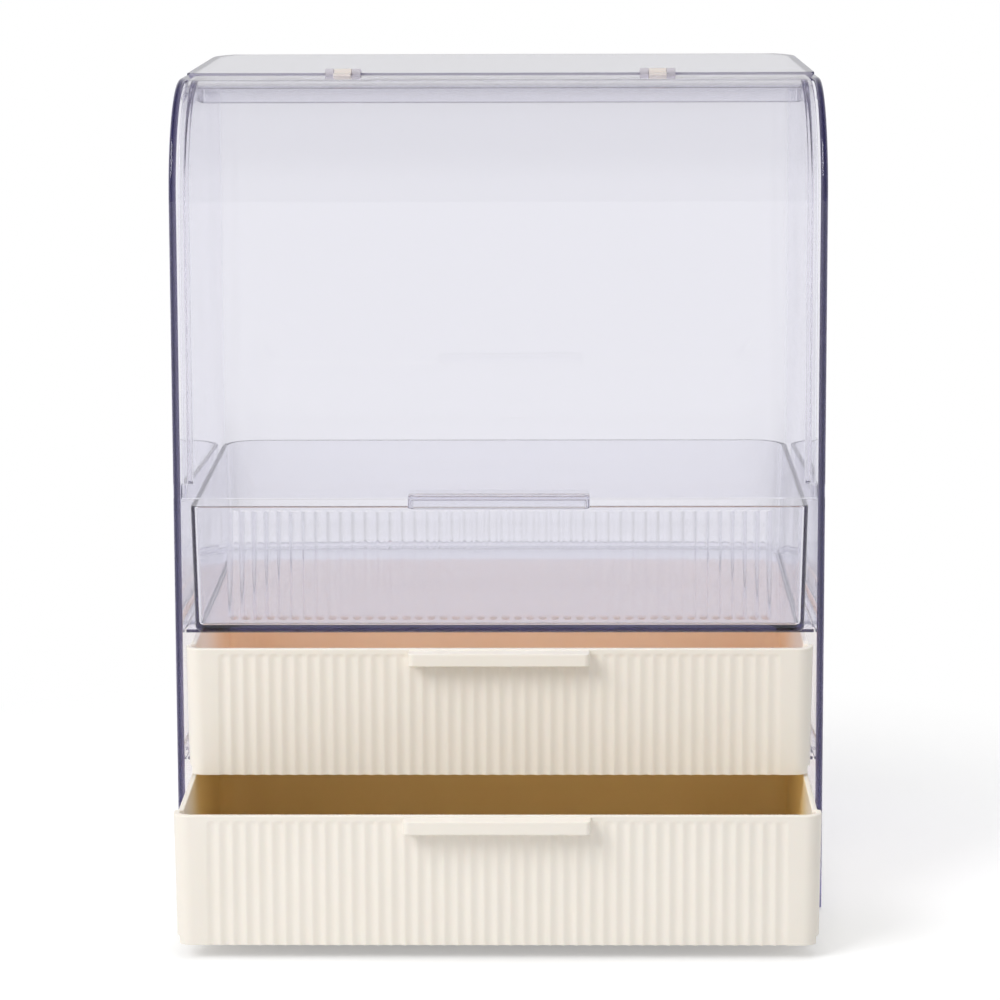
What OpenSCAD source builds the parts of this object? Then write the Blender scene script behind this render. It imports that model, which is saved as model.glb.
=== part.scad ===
// Clear dustproof makeup organizer: a moulded case with a flip-up door over a pull-out tray,
// and two fluted drawers below it. Millimetres, +Z up, front towards -Y.
// The origin lies on the floor, under the middle of the whole with its drawers as drawn.

/* [Case] */
// Width of the case across its front
case_w = 270; // [200:1:340]
// Depth of the case from its front plane to the back of its back panel
case_d = 225; // [205:1:300]
// Height of the top panel above the floor
case_h = 345.5; // [290:0.5:440]
// Thickness of the clear walls, back, top and base
wall = 3; // [2:0.1:4]
// How much narrower each side gets towards the back, as mould draft
side_draft = 3.6; // [0:0.1:6]
// Radius of the rounded front top corner of the side walls
nose_r = 48; // [30:1:60]
// Radius of the two upright back corners
back_r = 28; // [12:1:40]
// Radius of the edge between the top and the back
crown_r = 9; // [4:0.5:12]
// Height from the lower edge of the walls to the top of the base plate
base_rise = 8; // [6:0.1:14]
// How far the front edge of the base plate stands behind the front plane
base_set = 4; // [3.6:0.1:8]

/* [Shelves] */
// Step in height from one deck to the next
deck_pitch = 54.5; // [48:0.5:70]
// Thickness of the two loose shelves
shelf_t = 1.4; // [1:0.1:2.4]
// How far the front edge of each shelf stands behind the front plane
shelf_set = 12; // [8:0.5:20]
// Width of the ledges that carry the shelves
ledge_w = 3; // [2:0.1:4]
// Thickness of those ledges
ledge_t = 1.6; // [1.2:0.1:2.4]
// How far the ledges start behind the shelves' front edge
ledge_set = 20; // [10:1:40]

/* [Door] */
// Thickness of the clear door
door_t = 2.4; // [1.8:0.1:3]
// How far the door's face lies inside the outline of the walls
door_set = 0.6; // [0.3:0.1:2]
// Gap between the door and each side wall
door_gap = 1; // [0.6:0.1:2]
// Gap between the top edge of the tray and the door
door_lift = 3.4; // [3.4:0.1:6]
// Depth of the stiffening flange inside each edge of the door
flange_d = 6; // [3:0.5:9]
// Thickness of that flange
flange_t = 1.8; // [1.2:0.1:2.4]
// How far the flange stands in from the door's edge
flange_set = 2.2; // [1.6:0.1:5]
// How far the flange stops above the door's lower edge
flange_rise = 6.5; // [6:0.5:12]

/* [Hinges] */
// Distance of each hinge from the middle
hinge_x = 67; // [40:1:90]
// Depth of the hinge axis behind the front plane
hinge_y = 79.2; // [70:0.1:95]
// Depth of the hinge axis below the top of the case
hinge_drop = 0.3; // [0.2:0.1:0.8]
// Diameter of the clear knuckles
knuckle_d = 4.6; // [4:0.1:6]
// Width of each clear knuckle
knuckle_w = 3.7; // [3:0.1:5]
// Width of the barrel between the knuckles
barrel_w = 7.4; // [6:0.1:10]
// Diameter of the hinge pin
hinge_pin_d = 1.6; // [1.2:0.1:2]
// Length of the hinge's two leaves behind and before the axis
leaf_l = 9; // [7:0.5:12]
// Thickness of the leaves
leaf_t = 1; // [0.8:0.1:1.2]

/* [Tray] */
// Gap between the tray's top edge and each side wall, where it is smallest
tray_play = 0.9; // [0.4:0.1:5]
// Depth of the tray from front to back
tray_d = 186; // [140:1:190]
// Height of the tray
tray_h = 53.4; // [36:0.1:56]
// Thickness of the tray's walls
tray_t = 2.2; // [1.6:0.1:3]
// Thickness of the tray's floor
tray_floor = 2.9; // [2:0.1:3.4]
// Draft of the tray at each side, top to bottom
tray_slant = 1.3; // [0:0.1:2]
// How far the tray's front stands behind the front plane
tray_set = 3; // [0:0.1:6]
// Radius of the tray's upright corners at the front
tray_r = 4; // [2.5:0.5:8]
// Spacing of the tray's flutes
tray_flute = 5.15; // [4:0.05:7]

/* [Drawers] */
// Gap between the top edge of a drawer's front and each side wall, at the front
drawer_play = 1.8; // [1.6:0.1:6]
// Height of a drawer's front
drawer_h = 53.5; // [40:0.5:54]
// Depth of a drawer from front to back
drawer_d = 190; // [140:1:192]
// Thickness of a drawer's side and back walls
drawer_t = 2.3; // [1.6:0.1:3]
// Thickness of a drawer's fluted front
drawer_front_t = 3; // [2.4:0.1:3.4]
// Thickness of a drawer's floor
drawer_floor = 2; // [1.4:0.1:3]
// Draft of a drawer at each side, top to bottom
drawer_slant = 0.8; // [0:0.1:1.2]
// How far the front hangs below the drawer's floor
skirt_h = 3.2; // [2:0.1:5]
// How far the body keeps inside both the front's width and the narrowest place of the walls
body_step = 0.5; // [0.3:0.1:2]
// Length of the wide part behind the front
shoulder_d = 12; // [9:0.5:20]
// Radius of the upright corners at the front
front_r = 7; // [4:0.5:10]
// Spacing of a drawer's flutes
drawer_flute = 5.35; // [4:0.05:7]
// How far the upper drawer is pulled out
upper_out = 10; // [0:1:140]
// How far the lower drawer is pulled out
lower_out = 77; // [0:1:140]

/* [Flutes and pulls] */
// Depth of a flute
flute_deep = 0.55; // [0.3:0.05:0.8]
// Width of the flat land between two flutes
flute_land = 1; // [0.6:0.1:1.6]
// Plain margin beside the flutes at each end
flute_margin = 13.5; // [8:0.5:30]
// Plain band above the flutes
flute_band = 1.6; // [1:0.1:4]
// Length of a bar pull
pull_w = 75; // [40:1:110]
// Height of a bar pull
pull_h = 5.4; // [4:0.1:7]
// How far a bar pull stands out
pull_d = 8; // [6:0.1:12]
// Thickness of a bar pull's shell
pull_t = 1.6; // [1.2:0.1:2]
// How far a drawer's pull lies below the top edge
pull_drop = 0.6; // [0.4:0.1:3]
// How far the door's pull hangs below the door's edge
pull_hang = 2.8; // [1.5:0.1:3]

/* [Feet and clearances] */
// Diameter of the soft feet
foot_d = 12; // [8:1:16]
// How far the soft feet stand out below the walls
foot_h = 0.4; // [0.3:0.1:1]
// Thickness of the soft feet
foot_t = 1.6; // [1.2:0.1:2]
// Distance of each foot's middle from the walls around it
foot_in = 16; // [12:1:30]
// Radius of the upright back corners of the tray and drawers
tail_r = 16; // [8:1:20]
// Radius along the lower edges of the tray and drawers
keel_r = 2.6; // [1.6:0.1:3]
// Running clearance under the tray and drawers
run_gap = 0.3; // [0.2:0.05:0.5]
// Clearance round the loose shelves
fit_gap = 0.3; // [0.2:0.05:0.6]
// Radial clearance of the pin in the barrel
pin_gap = 0.05; // [0.02:0.01:0.08]

/* [Hidden] */
$fn = 64;

// Longer than the whole object, for cuts that run right through.
far = case_w + case_d + case_h;
// Y of the front plane, so that the origin lies under the middle of the whole.
front_y = -(case_d - lower_out - pull_d) / 2;
// Side draft per millimetre of depth, and the stretch that it gives a wall's thickness across.
slope = side_draft / case_d;
skew = sqrt(1 + slope * slope);
// Decks that carry the lower drawer, the upper drawer and the tray.
base_top = foot_h + base_rise;
drawer_deck = base_top + deck_pitch;
tray_deck = drawer_deck + deck_pitch;
tray_z = tray_deck + run_gap;
tray_top = tray_z + tray_h;
door_z = tray_top + door_lift;
// Half the width between the side walls, of the door, of the tray, and of a drawer's front and body.
inner_x = case_w / 2 - wall * skew;
door_x = inner_x - door_gap;
tray_x = inner_x - slope * (tray_set + tray_d - tail_r) - tray_play;
drawer_x = inner_x - drawer_play;
body_x = min(drawer_x, inner_x - slope * (drawer_d - tail_r)) - body_step;
// Hinge: its whole width, and where the door and the top panel part and step back round it.
side_play = 0.15;
part_gap = 0.7;
hinge_z = case_h - hinge_drop;
hinge_w = barrel_w + 2 * knuckle_w + 2 * side_play;
door_rear = hinge_y + part_gap;
panel_front = door_rear + 1.5 * part_gap;
notch_gap = 0.5;
notch_y = knuckle_d / 2 + notch_gap;

// ---- shapes that the pieces share ----

// Stands a side view, drawn in Y and Z, across the width from -w / 2 to w / 2.
module across(w) {
    translate([-w / 2, 0, 0]) rotate([90, 0, 90]) linear_extrude(w) children();
}

// Stands a front view, drawn in X and Z, from y0 to y1.
module along(y0, y1) {
    translate([0, y1, 0]) rotate([90, 0, 0]) linear_extrude(y1 - y0) children();
}

// Plan of the case inset by t: two straight drafted sides and two round back corners.
module case_plan(t = 0, front = 0) {
    r = back_r - t;
    cy = case_d - back_r;
    cx = case_w / 2 - slope * cy - back_r * skew;
    half = case_w / 2 - t * skew - slope * front;
    touch = [cx + r / skew, cy + r * slope / skew];
    polygon([[-half, front], [half, front], touch, [cx, cy + r], [-cx, cy + r], [-touch.x, touch.y]]);
    for (s = [-1, 1]) translate([s * cx, cy]) circle(r);
}

// Plan of the case with the front edges of its walls rounded over.
module wall_plan() {
    tip = wall / 2;
    case_plan(0, tip);
    for (s = [-1, 1]) translate([s * (case_w / 2 - tip * skew), tip]) circle(tip);
}

// Side view of the case inset by t: a large curve at the front top and a small one at the back.
module case_side(t = 0) {
    polygon([[t, 0], [case_d - t, 0], [case_d - t, case_h - crown_r], [case_d - crown_r, case_h - t],
             [nose_r, case_h - t], [t, case_h - nose_r]]);
    translate([nose_r, case_h - nose_r]) circle(nose_r - t);
    translate([case_d - crown_r, case_h - crown_r]) circle(crown_r - t);
}

// Keeps what its children have between the heights z0 and z1.
module slice(z0, z1) {
    intersection() {
        children();
        translate([-far, -far, z0]) cube([2 * far, 2 * far, z1 - z0]);
    }
}

// Tub with round upright corners (ra in front, rb behind) and round lower edges. half is half its
// width at the height z1, and its sides lean in by lean for each millimetre down.
module tub(half, lean, y0, y1, z0, z1, ra, rb, r = keel_r) {
    low = half - lean * (z1 - z0);
    intersection() {
        translate([0, 0, z0]) linear_extrude(z1 - z0) {
            polygon([[-half + ra, y0], [half - ra, y0], [half, y0 + ra], [half, y1 - rb],
                     [half - rb, y1], [-half + rb, y1], [-half, y1 - rb], [-half, y0 + ra]]);
            for (s = [-1, 1]) {
                translate([s * (half - ra), y0 + ra]) circle(ra);
                translate([s * (half - rb), y1 - rb]) circle(rb);
            }
        }
        along(y0, y1) {
            polygon([[-low + r, z0], [low - r, z0], [low, z0 + r], [half, z1], [-half, z1], [-low, z0 + r]]);
            for (s = [-1, 1]) translate([s * (low - r), z0 + r]) circle(r);
        }
    }
}

// Row of hollow flutes to cut from the face y = face, between the heights z0 and z1.
module flutes(half, pitch, face, z0, z1) {
    gape = pitch - flute_land;
    r = (gape * gape / 4 + flute_deep * flute_deep) / (2 * flute_deep);
    count = floor(2 * (half - flute_margin) / pitch);
    for (i = [0 : count - 1])
        translate([(i - (count - 1) / 2) * pitch, face + flute_deep - r, z0])
            cylinder(r = r, h = z1 - z0);
}

// Hooded bar pull, open below: its back lies on y = 0 and its top on z = 0.
module pull_bar() {
    difference() {
        translate([0, 0, -pull_h]) linear_extrude(pull_h) {
            translate([-pull_w / 2, pull_t - pull_d]) square([pull_w, pull_d - pull_t]);
            translate([pull_t - pull_w / 2, -pull_d]) square([pull_w - 2 * pull_t, pull_d]);
            for (s = [-1, 1]) translate([s * (pull_w / 2 - pull_t), pull_t - pull_d]) circle(pull_t);
        }
        translate([pull_t - pull_w / 2, pull_t - pull_d, -pull_h - pull_t])
            cube([pull_w - 2 * pull_t, pull_d - 2 * pull_t, pull_h]);
    }
}

// ---- case ----

// Ledge round the sides and back that carries a shelf under the given deck.
module ledge(deck) {
    translate([0, 0, deck - shelf_t - ledge_t]) linear_extrude(ledge_t) difference() {
        case_plan(wall / 2, shelf_set + ledge_set);
        case_plan(wall + ledge_w);
    }
}

// Stops inside the walls for the lower corners of the closed door.
module door_stops() {
    stop = [2.4, 5, 5.6];
    for (s = [-1, 1])
        translate([s * (inner_x - stop.x / 2 + wall / 4), door_set + door_t + fit_gap + stop.y / 2,
                   door_z + stop.z / 2])
            cube([stop.x + wall / 2, stop.y, stop.z], center = true);
}

module foot_place(side, end) {
    y = end < 0 ? foot_in : case_d - wall - foot_in;
    x = case_w / 2 - slope * y - wall - foot_in;
    translate([side * x, y, 0]) children();
}

module hinge_notch(from_y, to_y) {
    room = hinge_w + 2 * notch_gap;
    for (s = [-1, 1])
        translate([s * hinge_x - room / 2, from_y, case_h - nose_r])
            cube([room, to_y - from_y, 2 * nose_r]);
}

module case_shell() {
    color("lavender", 0.5) {
        difference() {
            intersection() {
                linear_extrude(case_h) wall_plan();
                across(2 * case_w) case_side();
            }
            // The room inside, from the base plate up to the top panel.
            intersection() {
                translate([0, 0, base_top]) linear_extrude(case_h) case_plan(wall, -wall);
                across(2 * case_w) union() {
                    case_side(wall);
                    translate([-far, base_top]) square([far + panel_front, far]);
                }
            }
            // The recess under the base plate, and the front edge of that plate.
            translate([0, 0, -wall]) linear_extrude(base_top) case_plan(wall, -wall);
            intersection() {
                translate([0, 0, -wall]) linear_extrude(case_h) case_plan(wall, -wall);
                translate([-far, -far, -far]) cube([2 * far, far + base_set, far + case_h]);
            }
            hinge_notch(0, hinge_y + notch_y);
            translate([-far, -far, -far]) cube([2 * far, 2 * far, far + foot_h]);
        }
        ledge(drawer_deck);
        ledge(tray_deck);
        door_stops();
        for (side = [-1, 1], end = [-1, 1])
            foot_place(side, end) slice(foot_t, base_top - wall / 2)
                cylinder(d = foot_d + wall, h = base_top);
    }
}

module shelf(deck) {
    color("lavender", 0.5) translate([0, 0, deck - shelf_t])
        linear_extrude(shelf_t) case_plan(wall + fit_gap, shelf_set);
}

module foot(side, end) {
    chamfer = foot_t / 5;
    color("whitesmoke") foot_place(side, end) rotate_extrude()
        polygon([[0, 0], [foot_d / 2 - chamfer, 0], [foot_d / 2, chamfer],
                 [foot_d / 2, foot_t], [0, foot_t]]);
}

// ---- door and hinges ----

// Side view of a skin that follows the case's outline, from the inset t0 to t1.
module skin(t0, t1) {
    difference() {
        case_side(t0);
        case_side(t1);
    }
}

// Upright strip of the plan beside both walls, from x0 to x1 in from the door's middle.
module strips(x0, x1) {
    linear_extrude(2 * case_h) for (s = [-1, 1])
        polygon([[s * x0, -wall], [s * x1, -wall],
                 [s * (x1 - slope * case_d), case_d], [s * (x0 - slope * case_d), case_d]]);
}

module door() {
    edge = door_x - flange_set;
    color("lavender", 0.4) difference() {
        union() {
            intersection() {
                across(2 * case_w) skin(door_set, door_set + door_t);
                strips(0, door_x);
                translate([-far, -far, door_z]) cube([2 * far, far + door_rear, far]);
            }
            intersection() {
                across(2 * case_w) skin(door_set + door_t / 2, door_set + door_t + flange_d);
                strips(edge - flange_t, edge);
                translate([-far, -far, door_z + flange_rise])
                    cube([2 * far, far + hinge_y - flange_d, far]);
            }
        }
        hinge_notch(hinge_y - notch_y, case_d);
    }
}

module door_pull() {
    color("lavender", 0.4) translate([0, door_set, door_z - pull_hang + pull_h]) pull_bar();
}

module pin_bore(r) {
    rotate([0, 90, 0]) cylinder(r = r, h = 2 * hinge_w, center = true);
}

// Clear half of a hinge: two knuckles on a leaf that lies on the top panel.
module hinge_bracket(side) {
    press = 0.01;
    color("lavender", 0.6) translate([side * hinge_x, hinge_y, hinge_z]) difference() {
        union() {
            for (s = [-1, 1]) translate([s * (hinge_w - knuckle_w) / 2, 0, 0]) {
                rotate([0, 90, 0]) cylinder(d = knuckle_d, h = knuckle_w, center = true);
                translate([-knuckle_w / 2, 0, hinge_drop]) cube([knuckle_w, leaf_l, leaf_t]);
            }
            translate([-hinge_w / 2, notch_y, hinge_drop]) cube([hinge_w, leaf_l - notch_y, leaf_t]);
        }
        pin_bore(hinge_pin_d / 2 - press);
    }
}

// Cream half of a hinge: a barrel with a leaf that lies on the door.
module hinge_barrel(side) {
    color("oldlace") translate([side * hinge_x, hinge_y, hinge_z]) difference() {
        union() {
            rotate([0, 90, 0]) cylinder(d = knuckle_d, h = barrel_w, center = true);
            translate([-barrel_w / 2, -leaf_l, hinge_drop - door_set]) cube([barrel_w, leaf_l, leaf_t]);
        }
        pin_bore(hinge_pin_d / 2 + pin_gap);
    }
}

module hinge_pin(side) {
    color("silver") translate([side * hinge_x, hinge_y, hinge_z])
        rotate([0, 90, 0]) cylinder(d = hinge_pin_d, h = hinge_w, center = true);
}

// ---- tray and drawers ----

module tray() {
    lean = tray_slant / tray_h;
    over = tray_t;
    color("lavender", 0.5) difference() {
        tub(tray_x, lean, tray_set, tray_set + tray_d, tray_z, tray_top, tray_r, tail_r);
        tub(tray_x - tray_t + lean * over, lean, tray_set + tray_t, tray_set + tray_d - tray_t,
            tray_z + tray_floor, tray_top + over, tray_r - tray_t / 2, tail_r - tray_t, keel_r / 2);
        flutes(tray_x, tray_flute, tray_set, tray_z + tray_floor + keel_r, tray_top - flute_band);
    }
}

// A drawer on the given deck, pulled out by out: a fluted front that hangs below the floor,
// wide shoulders behind it, and a body that stands in at both sides.
module drawer(deck, out) {
    lean = drawer_slant / drawer_h;
    step = drawer_x - body_x;
    floor_z = deck + run_gap;
    low = floor_z - skirt_h;
    top = low + drawer_h;
    over = drawer_t;
    in_r = front_r - drawer_t;
    color("oldlace") translate([0, -out, 0]) difference() {
        union() {
            tub(drawer_x, lean, 0, shoulder_d, low, top, front_r, step);
            tub(body_x, lean, shoulder_d - 2 * step, drawer_d, floor_z, top, step, tail_r);
        }
        // Behind its front, the skirt is cut away up to the floor.
        translate([-far, drawer_front_t, low - over]) cube([2 * far, far, floor_z - low + over]);
        tub(drawer_x - drawer_t + lean * over, lean, drawer_front_t, shoulder_d - drawer_t,
            floor_z + drawer_floor, top + over, in_r, step, keel_r / 2);
        tub(body_x - drawer_t + lean * over, lean, drawer_front_t, drawer_d - drawer_t,
            floor_z + drawer_floor, top + over, in_r, tail_r - drawer_t, keel_r / 2);
        flutes(drawer_x, drawer_flute, 0, low - over, top - flute_band);
    }
}

module drawer_pull(deck, out) {
    color("oldlace") translate([0, -out, deck + run_gap - skirt_h + drawer_h - pull_drop]) pull_bar();
}

translate([0, front_y, 0]) {
    case_shell();
    shelf(tray_deck);  // tray_shelf
    shelf(drawer_deck);  // drawer_shelf
    door();
    door_pull();
    hinge_bracket(-1);  // hinge_bracket_left
    hinge_bracket(1);  // hinge_bracket_right
    hinge_barrel(-1);  // hinge_barrel_left
    hinge_barrel(1);  // hinge_barrel_right
    hinge_pin(-1);  // hinge_pin_left
    hinge_pin(1);  // hinge_pin_right
    tray();
    drawer(drawer_deck, upper_out);  // upper_drawer
    drawer_pull(drawer_deck, upper_out);  // upper_drawer_pull
    drawer(base_top, lower_out);  // lower_drawer
    drawer_pull(base_top, lower_out);  // lower_drawer_pull
    foot(-1, -1);  // foot_front_left
    foot(1, -1);  // foot_front_right
    foot(-1, 1);  // foot_rear_left
    foot(1, 1);  // foot_rear_right
}
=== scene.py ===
# %% [markdown]
# # A clear makeup case with fluted cream drawers
# The object is a standing case of clear plastic with a faint violet tint. A curved door swings up over
# a fluted tray, and two fluted cream drawers slide out below it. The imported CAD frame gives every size
# and every joint. This script models each piece again with the round edges, hollows and finishes of the
# real one, and lights it as for a catalogue.

# %% Load the frame
import math

import bmesh
import bpy
from mathutils import Matrix, Vector


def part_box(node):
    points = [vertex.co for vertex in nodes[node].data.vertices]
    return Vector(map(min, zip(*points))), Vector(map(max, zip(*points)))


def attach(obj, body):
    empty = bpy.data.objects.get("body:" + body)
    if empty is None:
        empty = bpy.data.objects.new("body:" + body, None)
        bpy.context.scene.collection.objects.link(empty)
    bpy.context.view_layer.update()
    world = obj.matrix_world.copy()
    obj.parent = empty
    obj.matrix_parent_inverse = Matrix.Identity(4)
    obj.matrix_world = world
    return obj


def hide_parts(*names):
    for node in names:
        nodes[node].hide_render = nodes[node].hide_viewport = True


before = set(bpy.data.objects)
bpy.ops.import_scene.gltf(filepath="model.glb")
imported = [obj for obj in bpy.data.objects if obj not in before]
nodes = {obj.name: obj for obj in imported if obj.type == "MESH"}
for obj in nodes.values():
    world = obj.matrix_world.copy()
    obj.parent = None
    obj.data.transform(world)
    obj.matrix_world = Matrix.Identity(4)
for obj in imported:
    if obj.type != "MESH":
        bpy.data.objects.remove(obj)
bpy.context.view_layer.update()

MM = 0.001

# %% [markdown]
# ## Where the camera stands
# A long lens at a moderate height looks slightly down, so the front shows nearly flat and the upright
# edges still draw together a little towards the bottom. Its place is given from the middle of the
# case's front plane, which lies 70 mm before the origin. Its axes are worked out from three small
# angles: tilt, turn and roll.

# %% Camera
FRONT = -70.0
CAMERA_PLACE = Vector((24.5, -1698.2 + FRONT, 458.1)) * MM
TILT_DOWN = 0.16403
TURN = -0.01424
ROLL = -0.00317
SENSOR = 36.0
PICTURE = 1000
FOCAL_PIXELS = 4161.3
CENTRE_PIXEL = (499.65, 493.70)


def camera_axes(tilt, turn, roll):
    """The camera's right, up and backward axes."""
    ahead = Vector((math.cos(tilt) * math.sin(turn), math.cos(tilt) * math.cos(turn), -math.sin(tilt)))
    right = Vector((math.cos(turn), -math.sin(turn), 0))
    up = right.cross(ahead)
    return (right * math.cos(roll) + up * math.sin(roll),
            up * math.cos(roll) - right * math.sin(roll), -ahead)


camera_data = bpy.data.cameras.new("product_camera")
camera_data.sensor_width = SENSOR
camera_data.lens = FOCAL_PIXELS * SENSOR / PICTURE
camera_data.shift_x = (PICTURE / 2 - CENTRE_PIXEL[0]) / PICTURE
camera_data.shift_y = (CENTRE_PIXEL[1] - PICTURE / 2) / PICTURE
camera = bpy.data.objects.new("product_camera", camera_data)
bpy.context.scene.collection.objects.link(camera)
turned = Matrix(camera_axes(TILT_DOWN, TURN, ROLL)).transposed()
camera.matrix_world = Matrix.Translation(CAMERA_PLACE) @ turned.to_4x4()
bpy.context.scene.camera = camera
print("lens", round(camera_data.lens, 1), "mm at", [round(c, 3) for c in camera.location])

# %% [markdown]
# ## Small tools for modelling
# Every piece starts as a block or rod at its own size and place, and stays in edit mode while it is
# shaped. Its parts are selected by where they are, then cut, moved, rounded or extruded. All places
# are in millimetres.

# %% Modelling helpers
def start(name, add_primitive, middle, scale, **options):
    """Adds a primitive at its place and size, and opens it for editing."""
    bpy.ops.object.select_all(action="DESELECT")
    add_primitive(location=Vector(middle) * MM, **options)
    piece = bpy.context.object
    piece.name = piece.data.name = name
    piece.scale = Vector(scale) * MM
    bpy.ops.object.transform_apply()
    bpy.ops.object.mode_set(mode="EDIT")
    return piece


def block(name, low, high):
    """Starts a block between two corners."""
    low, high = Vector(low), Vector(high)
    return start(name, bpy.ops.mesh.primitive_cube_add, (low + high) / 2, high - low, size=1)


def leave():
    """Leaves edit mode."""
    bpy.ops.object.mode_set(mode="OBJECT")


def place_of(part):
    """The place of a point, or the middle of an edge or face."""
    if isinstance(part, bmesh.types.BMVert):
        return part.co / MM
    return sum((point.co for point in part.verts), Vector()) / len(part.verts) / MM


def pick(kind, test):
    """Selects just the points, edges or faces that pass the test, and counts them."""
    bpy.ops.mesh.select_mode(type=kind)
    bpy.ops.mesh.select_all(action="DESELECT")
    mesh = bpy.context.object.data
    form = bmesh.from_edit_mesh(mesh)
    parts = {"VERT": form.verts, "EDGE": form.edges, "FACE": form.faces}[kind]
    chosen = [part for part in parts if test(part)]
    for part in chosen:
        part.select_set(True)
    bmesh.update_edit_mesh(mesh)
    return len(chosen)


def near(value, target, reach=0.05):
    """Whether two lengths are the same but for a small reach."""
    return abs(value - target) < reach


def all_points(part, test):
    """Whether each end or corner of an edge or face passes."""
    return all(test(point.co / MM) for point in part.verts)


def cut(normal, places, where=lambda face: True):
    """Cuts a loop of edges across the faces that pass, at each place along the normal."""
    normal = Vector(normal).normalized()
    for place in places:
        if pick("FACE", where):
            bpy.ops.mesh.bisect(plane_co=normal * place * MM, plane_no=normal)


def move(shift):
    """Moves what is chosen."""
    bpy.ops.transform.translate(value=Vector(shift) * MM)


def stretch(factors, about):
    """Scales what is chosen about a place."""
    bpy.ops.transform.resize(value=factors, center_override=Vector(about) * MM)


def round_edges(radius, steps, test):
    """Bevels the edges that pass, to a round of the given radius."""
    count = pick("EDGE", test)
    if count:
        bpy.ops.mesh.bevel(offset=radius * MM, segments=steps, clamp_overlap=True)
    return count


def push_down(depth):
    """Extrudes the chosen faces straight down, or up with a negative depth."""
    bpy.ops.mesh.extrude_region_move(TRANSFORM_OT_translate={"value": (0, 0, -depth * MM)})


def press(depth_at, way):
    """Moves each point by its own depth along a direction, one group of equal depth at a time."""
    form = bmesh.from_edit_mesh(bpy.context.object.data)
    groups = {}
    for point in form.verts:
        depth = round(depth_at(point.co / MM), 3)
        if depth > 0:
            groups.setdefault(depth, set()).add(point.index)
    for depth, points in groups.items():
        pick("VERT", lambda point: point.index in points)
        move(Vector(way) * depth)
    return len(groups)


def close_piece(piece, edge=0.0, steps=3, sharp=50, smooth=35, weld=0.005):
    """Welds slivers, rounds the sharp edges with a bevel modifier and smooths the rest."""
    bpy.ops.object.mode_set(mode="EDIT")
    bpy.ops.mesh.select_all(action="SELECT")
    bpy.ops.mesh.remove_doubles(threshold=weld * MM)
    leave()
    if edge:
        bevel = piece.modifiers.new("soft_edges", "BEVEL")
        bevel.width = edge * MM
        bevel.segments = steps
        bevel.limit_method = "ANGLE"
        bevel.angle_limit = math.radians(sharp)
        bpy.ops.object.modifier_apply(modifier=bevel.name)
    bpy.ops.object.shade_smooth_by_angle(angle=math.radians(smooth))
    normals = piece.modifiers.new("flat_faces_stay_flat", "WEIGHTED_NORMAL")
    normals.keep_sharp = True
    bpy.ops.object.modifier_apply(modifier=normals.name)


def choose(piece):
    """Makes a piece the only chosen object."""
    bpy.ops.object.select_all(action="DESELECT")
    piece.select_set(True)
    bpy.context.view_layer.objects.active = piece


def combine(piece, other, operation):
    """Unites another solid with the piece, or cuts it away, and removes the other."""
    solid = piece.modifiers.new("combine", "BOOLEAN")
    solid.object = other
    solid.operation = operation
    solid.solver = "EXACT"
    bpy.context.view_layer.objects.active = piece
    bpy.ops.object.modifier_apply(modifier=solid.name)
    bpy.data.objects.remove(other)


def copy_of(piece, name, shift):
    """A moved copy with its own mesh."""
    choose(piece)
    bpy.ops.object.duplicate()
    twin = bpy.context.object
    twin.name = twin.data.name = name
    bpy.ops.transform.translate(value=Vector(shift) * MM)
    bpy.ops.object.transform_apply()
    return twin


def fit(piece, body, slot, *nodes):
    """Puts a finished piece in the place of its CAD nodes, and prints how well their boxes agree."""
    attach(piece, body)
    boxes = [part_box(node) for node in nodes]
    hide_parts(*nodes)
    off = []
    for axis in range(3):
        reach = [point.co[axis] for point in piece.data.vertices]
        off.append([round((min(reach) - min(box[0][axis] for box in boxes)) / MM, 2),
                    round((max(reach) - max(box[1][axis] for box in boxes)) / MM, 2)])
    print(piece.name, len(piece.data.polygons), "faces, off the solid by", off, "mm")

# %% [markdown]
# ## The fluted drawers
# Each drawer is one moulding: a fluted front that hangs a little below the floor, wide shoulders right
# behind it, and a body that stands in at both sides so that it slides between the walls. It could be
# built from plates, but a moulding has no joints, so it grows from one block, which is narrowed
# downwards for the mould's draft, stepped in behind the shoulders, rounded at its upright corners and
# hollowed from above. The lower drawer is modelled where it stands, 77 mm out.

# %% Drawer body
DRAWER_HALF = 130.2
DRAWER_LOW = 129.45
BODY_STEP = 1.484
SHOULDER = (10.5, 12.0)
DRAWER_LONG = 190.0
DRAWER_WALL = 2.3
FRONT_WALL = 3.0
FLOOR_THICK = 2.0
SKIRT = 3.2
FRONT_ROUND = 7.0
TAIL_ROUND = 16.0
KEEL_ROUND = 2.6
INNER_ROUND = 1.3
RIM_ROUND = 0.6
LIP_ROUND = 0.3
UPPER_SHIFT = (0, 67.0, 54.5)
LOWER_FRONT = FRONT - 77.0
LOWER_FLOOR = 8.7
LOWER_TOP = 59.0


def upright(y):
    """A test for the upright edges at one depth. They may lean a little for the draft."""
    return lambda edge: (all_points(edge, lambda p: near(p.y, y))
                         and near(edge.verts[0].co.x, edge.verts[1].co.x, 2 * MM))


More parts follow.
